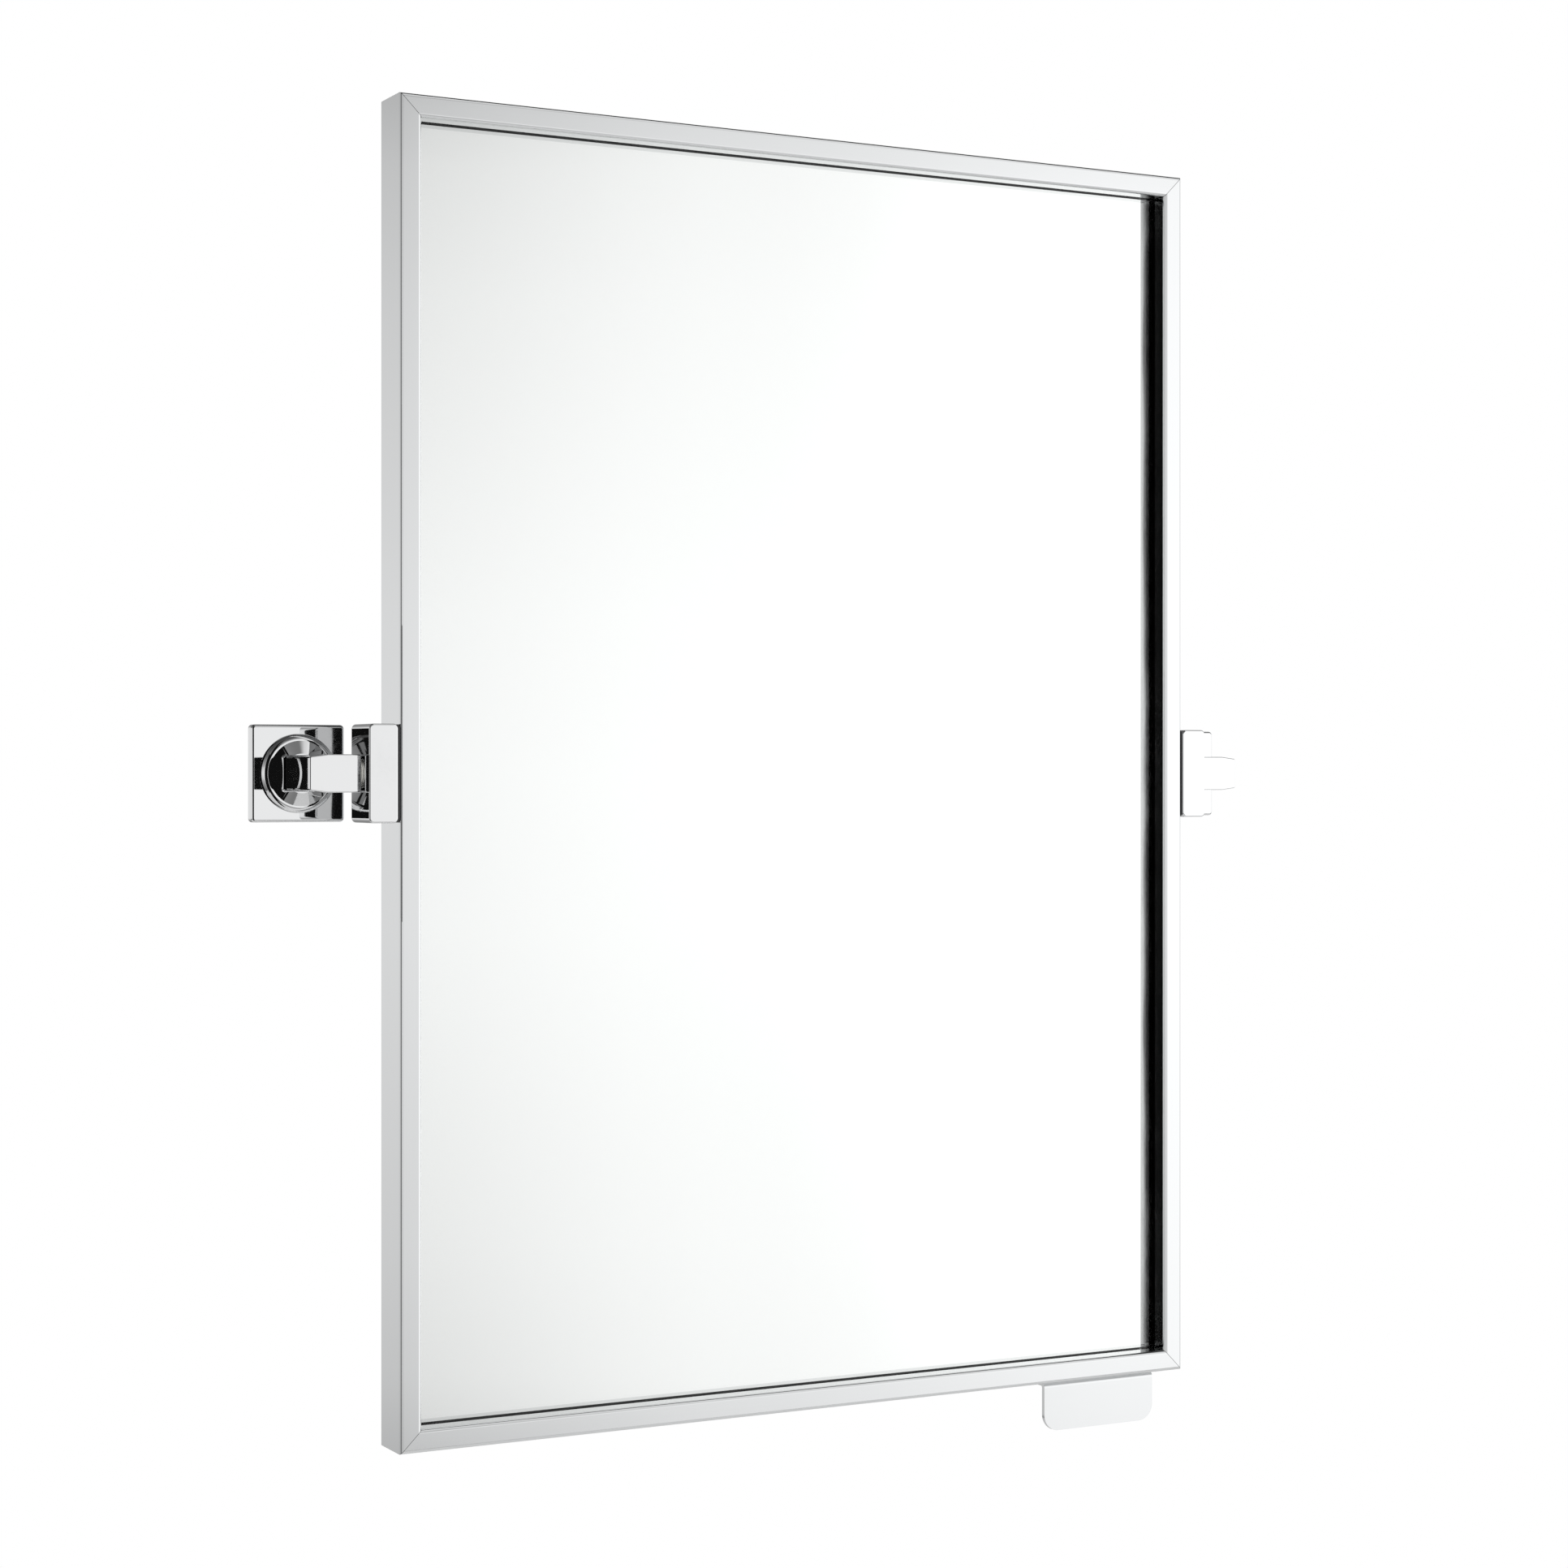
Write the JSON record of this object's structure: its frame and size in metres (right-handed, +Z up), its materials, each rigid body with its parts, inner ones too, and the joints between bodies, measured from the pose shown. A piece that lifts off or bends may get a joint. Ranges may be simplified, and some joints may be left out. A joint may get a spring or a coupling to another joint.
{
  "type": "pivot wall mirror",
  "caption": "Rectangular wall mirror in a slim mitred metal frame that tilts on pivot blocks between short wall brackets, with a small hand tab under it.",
  "frame": {"origin": "on the wall plane, midway between the two wall brackets, at the height of the tilt axis", "axes": "+X along the mirror's width, to the right of a person who faces it; +Y into the wall; +Z up; the glass faces -Y"},
  "size_m": [0.611, 0.0595, 0.7287],
  "materials": {
    "stainless_steel": "bright",
    "polished_chrome": "polished",
    "mirror_glass": "silvered behind",
    "hardboard": "pressed",
    "galvanised_steel": "galvanised",
    "pressed_steel": "plain",
    "zinc_plated_steel": "zinc plated",
    "white_nylon": "moulded",
    "black_nylon": "moulded",
    "friction_fibre": "pressed"
  },
  "bodies": {
    "wall_brackets": {"left_wall_bracket": "pressed_steel", "left_wall_plate": "polished_chrome", "left_collar": "polished_chrome", "left_arm": "polished_chrome", "left_arm_screw": "zinc_plated_steel", "left_pin_screw": "zinc_plated_steel", "left_pivot_pin": "zinc_plated_steel", "left_friction_washer": "friction_fibre", "left_spring_washer": "zinc_plated_steel", "left_lock_nut": "zinc_plated_steel", "right_wall_bracket": "pressed_steel", "right_wall_plate": "polished_chrome", "right_collar": "polished_chrome", "right_arm": "polished_chrome", "right_arm_screw": "zinc_plated_steel", "right_pin_screw": "zinc_plated_steel", "right_pivot_pin": "zinc_plated_steel", "right_friction_washer": "friction_fibre", "right_spring_washer": "zinc_plated_steel", "right_lock_nut": "zinc_plated_steel"},
    "framed_mirror": {"bottom_rail": "stainless_steel", "top_rail": "stainless_steel", "left_stile": "stainless_steel", "right_stile": "stainless_steel", "corner_key_1": "pressed_steel", "corner_key_2": "pressed_steel", "corner_key_3": "pressed_steel", "corner_key_4": "pressed_steel", "key_screw_1": "zinc_plated_steel", "key_screw_2": "zinc_plated_steel", "key_screw_3": "zinc_plated_steel", "key_screw_4": "zinc_plated_steel", "key_screw_5": "zinc_plated_steel", "key_screw_6": "zinc_plated_steel", "key_screw_7": "zinc_plated_steel", "key_screw_8": "zinc_plated_steel", "mirror_glass": "mirror_glass", "backing_board": "hardboard", "back_panel": "galvanised_steel", "tilt_tab": "stainless_steel", "tab_nut_plate": "zinc_plated_steel", "tab_screw_1": "zinc_plated_steel", "tab_screw_2": "zinc_plated_steel", "left_pivot_block": "polished_chrome", "left_block_pad": "black_nylon", "left_block_screw_1": "zinc_plated_steel", "left_block_screw_2": "zinc_plated_steel", "left_bush": "white_nylon", "right_pivot_block": "polished_chrome", "right_block_pad": "black_nylon", "right_block_screw_1": "zinc_plated_steel", "right_block_screw_2": "zinc_plated_steel", "right_bush": "white_nylon"}
  },
  "joints": [
    {"name": "mirror_tilt", "type": "hinge", "parent": "wall_brackets", "child": "framed_mirror", "pos_m": [0, -0.0433, 0], "axis": [1, 0, 0], "range_deg": [-5, 5]}
  ]
}
